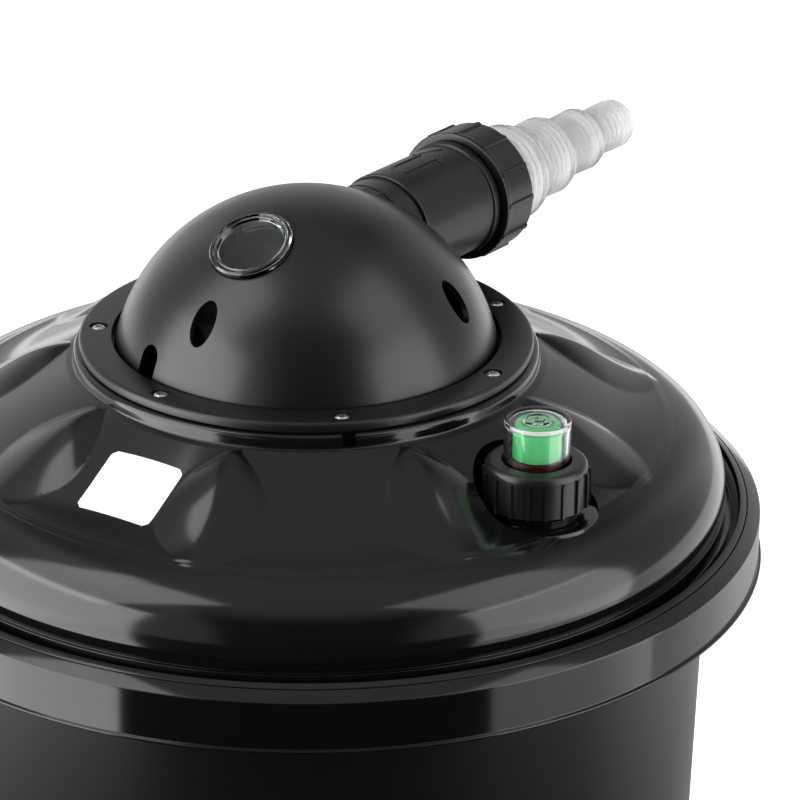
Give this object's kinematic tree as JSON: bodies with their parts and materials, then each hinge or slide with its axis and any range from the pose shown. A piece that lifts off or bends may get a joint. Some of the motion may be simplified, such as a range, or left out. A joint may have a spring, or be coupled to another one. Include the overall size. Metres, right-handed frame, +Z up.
{
  "type": "pond canister filter",
  "caption": "Round pressurised pond filter with a fluted screw-ring lid, domed ultraviolet head, union-nut hose tails and a sprung flow indicator.",
  "frame": {"origin": "centre of the drum's flat underside", "axes": "+Z up along the drum's axis; the flow indicator stands towards +X and -Y, and the outlet and inlet point level towards +X and +Y, 51.9 degrees from +X"},
  "size_m": [0.3855, 0.4352, 0.4824],
  "materials": {
    "drum_plastic": "satin black with faint upright streaks",
    "lid_plastic": "glossy black moulding",
    "dome_plastic": "semi-gloss black",
    "fitting_plastic": "satin black",
    "seal_rubber": "soft black",
    "screw_steel": "plain bright steel",
    "smoked_lens": "smoked clear plastic",
    "clear_plastic": "clear moulding",
    "float_green": "bright green",
    "float_red": "dark red",
    "inner_plastic": "plain dark moulding",
    "quartz": "polished quartz",
    "lamp_glass": "clear lamp glass with white cap",
    "foam_coarse": "coarse open foam",
    "foam_fine": "fine open foam"
  },
  "bodies": {
    "drum": {"drum": "drum_plastic", "lid_seal": "seal_rubber", "inlet_seal": "seal_rubber", "inlet_hose_tail": "clear_plastic", "media_grate": "inner_plastic", "centre_cage": "inner_plastic", "foam_ring_1": "foam_coarse", "foam_ring_2": "foam_coarse", "foam_ring_3": "foam_fine", "foam_ring_4": "foam_fine", "media_plate": "inner_plastic", "cage_nut": "inner_plastic"},
    "inlet_nut": {"inlet_union_nut": "fitting_plastic"},
    "lid": {"lid": "lid_plastic", "gauge_seal": "seal_rubber", "gauge_bulb": "clear_plastic", "gauge_stem": "inner_plastic", "gauge_spring": "screw_steel"},
    "locking_ring": {"locking_ring": "lid_plastic"},
    "gauge_nut": {"gauge_nut": "fitting_plastic"},
    "gauge_float": {"gauge_float": "float_green", "gauge_red_band": "float_red"},
    "uv_head": {"head_gasket": "seal_rubber", "retaining_ring": "fitting_plastic", "ring_screw_1": "screw_steel", "ring_screw_2": "screw_steel", "ring_screw_3": "screw_steel", "ring_screw_4": "screw_steel", "ring_screw_5": "screw_steel", "ring_screw_6": "screw_steel", "ring_screw_7": "screw_steel", "uv_head_body": "fitting_plastic", "dome_front_cover": "dome_plastic", "dome_rear_cover": "dome_plastic", "sight_glass": "smoked_lens", "outlet_pipe": "fitting_plastic", "outlet_seal": "seal_rubber", "outlet_hose_tail": "clear_plastic", "quartz_sleeve": "quartz", "sleeve_seal": "seal_rubber", "lamp_holder": "inner_plastic", "uv_lamp": "lamp_glass", "ballast": "inner_plastic", "cable_gland": "seal_rubber", "uv_chamber_tube": "inner_plastic"},
    "outlet_nut": {"outlet_union_nut": "fitting_plastic"}
  },
  "joints": [
    {"name": "lid_lift", "type": "slide", "parent": "drum", "child": "lid", "axis": [0, 0, 1], "range_m": [0, 0.26]},
    {"name": "locking_ring_turn", "type": "hinge", "parent": "lid", "child": "locking_ring", "pos_m": [0, 0, 0.3505], "axis": [0, 0, 1], "range_deg": [0, 540]},
    {"name": "head_lift", "type": "slide", "parent": "lid", "child": "uv_head", "axis": [0, 0, 1], "range_m": [0, 0.26]},
    {"name": "outlet_nut_turn", "type": "hinge", "parent": "uv_head", "child": "outlet_nut", "pos_m": [0, 0, 0.4516], "axis": [0.617, 0.7869, 0], "range_deg": [0, 720]},
    {"name": "inlet_nut_turn", "type": "hinge", "parent": "drum", "child": "inlet_nut", "pos_m": [0, 0, 0.062], "axis": [0.617, 0.7869, 0], "range_deg": [0, 720]},
    {"name": "gauge_nut_turn", "type": "hinge", "parent": "lid", "child": "gauge_nut", "pos_m": [0.09017, -0.09502, 0.4], "axis": [0, 0, 1], "range_deg": [0, 720]},
    {"name": "float_travel", "type": "slide", "parent": "lid", "child": "gauge_float", "axis": [0, 0, -1], "range_m": [0, 0.01], "stiffness_N_per_m": 40, "springref_m": -0.004, "deforming": ["gauge_spring"]}
  ]
}
